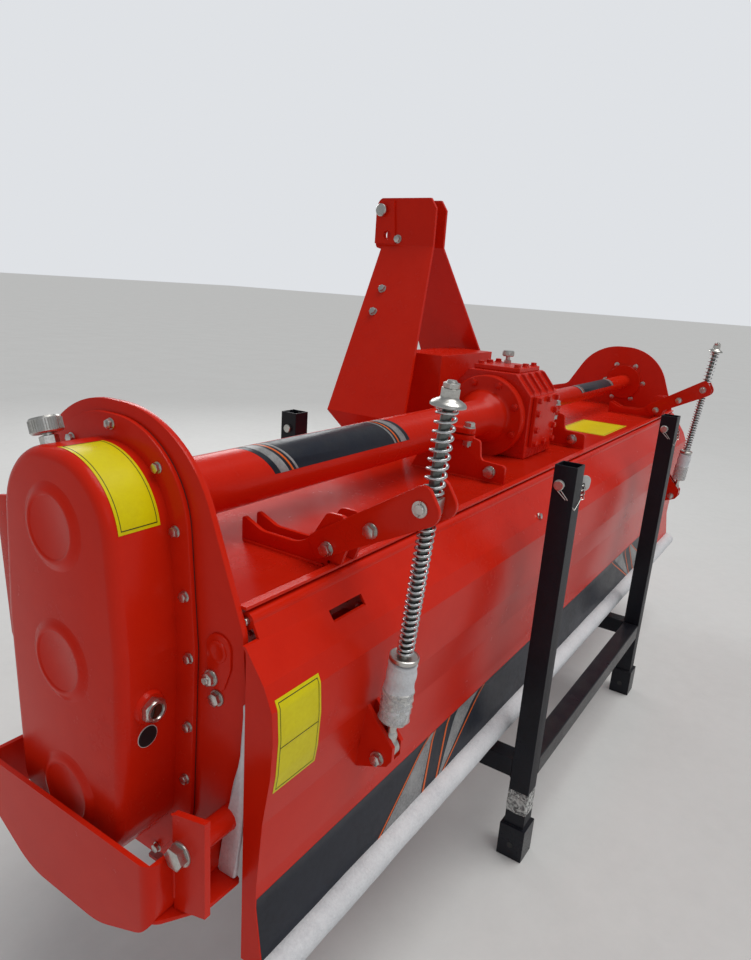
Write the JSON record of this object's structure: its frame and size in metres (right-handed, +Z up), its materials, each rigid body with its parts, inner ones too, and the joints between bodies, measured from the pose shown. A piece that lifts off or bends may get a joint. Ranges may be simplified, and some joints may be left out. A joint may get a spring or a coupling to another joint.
{
  "type": "rotary tiller on a shipping stand",
  "caption": "Wide tractor-mounted rotary tiller with side gear drive, sprung trailing board and bladed rotor, stored on an open square-tube stand.",
  "frame": {"origin": "on the ground under the middle of the bounding box", "axes": "+Z up, +Y forward to the tractor, +X to the machine's right along the rotor"},
  "size_m": [2.827, 0.8734, 1.595],
  "materials": {
    "bare_steel": "machined",
    "black_paint": "satin",
    "red_paint": "glossy",
    "rotor_paint": "satin",
    "spring_steel": "bright",
    "white_foam": "matte",
    "zinc": "zinc plated"
  },
  "bodies": {
    "root": {"deck": "red_paint", "front_beam": "red_paint", "front_flap": "red_paint", "gear_cover": "red_paint", "gear_guard": "red_paint", "gearbox": "red_paint", "gearbox_rear_cover": "red_paint", "gearbox_top_cover": "red_paint", "hinge_rod": "zinc", "lower_hitches": "red_paint", "mast_pin": "zinc", "mast_plate_left": "red_paint", "mast_plate_right": "red_paint", "pto_shield": "red_paint", "side_plate_left": "red_paint", "side_plate_right": "red_paint", "spring_arms": "red_paint", "stand_brackets": "black_paint", "stand_front_bar": "black_paint", "stand_post_front_left": "black_paint", "stand_post_front_right": "black_paint", "stand_post_rear_left": "black_paint", "stand_post_rear_right": "black_paint", "stand_rear_bar": "black_paint", "stand_saddles": "black_paint", "stand_side_bar_left": "black_paint", "stand_side_bar_right": "black_paint", "tube_left": "red_paint", "tube_right": "red_paint"},
    "rotor": {"rotor": "rotor_paint"},
    "pto": {"pto_shaft": "bare_steel"},
    "board": {"board": "red_paint", "foam_sleeve": "white_foam"},
    "pivot_left": {"trunnion_left": "zinc"},
    "pivot_right": {"trunnion_right": "zinc"},
    "rod_left": {"foam_wrap_left": "white_foam", "spring_lower_left": "spring_steel", "spring_rod_left": "zinc", "spring_upper_left": "spring_steel"},
    "rod_right": {"foam_wrap_right": "white_foam", "spring_lower_right": "spring_steel", "spring_rod_right": "zinc", "spring_upper_right": "spring_steel"}
  },
  "joints": [
    {"name": "rotor_spin", "type": "hinge", "parent": "root", "child": "rotor", "pos_m": [0.0485, -0.02725, 0.588], "axis": [1, 0, 0], "continuous": true},
    {"name": "pto_spin", "type": "hinge", "parent": "root", "child": "pto", "pos_m": [0.0485, 0.09475, 1.01], "axis": [0, 1, 0], "continuous": true},
    {"name": "board_hinge", "type": "hinge", "parent": "root", "child": "board", "pos_m": [0.0485, -0.25125, 0.892], "axis": [-1, 0, 0], "range_deg": [-1.5, 2]},
    {"name": "trunnion_left", "type": "hinge", "parent": "root", "child": "pivot_left", "pos_m": [-1.0365, -0.39625, 1.041], "axis": [-1, 0, 0], "range_deg": [-1.07, 1.42]},
    {"name": "rod_slide_left", "type": "slide", "parent": "pivot_left", "child": "rod_left", "axis": [0, -0.0852, 0.9964], "range_m": [-0.00397, 0.00529], "deforming": ["spring_upper_left", "spring_lower_left"]},
    {"name": "trunnion_right", "type": "hinge", "parent": "root", "child": "pivot_right", "pos_m": [1.1335, -0.39625, 1.041], "axis": [-1, 0, 0], "range_deg": [-1.07, 1.42]},
    {"name": "rod_slide_right", "type": "slide", "parent": "pivot_right", "child": "rod_right", "axis": [0, -0.0852, 0.9964], "range_m": [-0.00397, 0.00529], "deforming": ["spring_upper_right", "spring_lower_right"]}
  ],
  "couplings": [
    {"joint": "pto_spin", "follows": "rotor_spin", "ratio": 2.4},
    {"joint": "trunnion_left", "follows": "board_hinge", "ratio": 0.61941},
    {"joint": "rod_slide_left", "follows": "board_hinge", "m_per_rad": 0.13178},
    {"joint": "trunnion_right", "follows": "board_hinge", "ratio": 0.61941},
    {"joint": "rod_slide_right", "follows": "board_hinge", "m_per_rad": 0.13178}
  ]
}
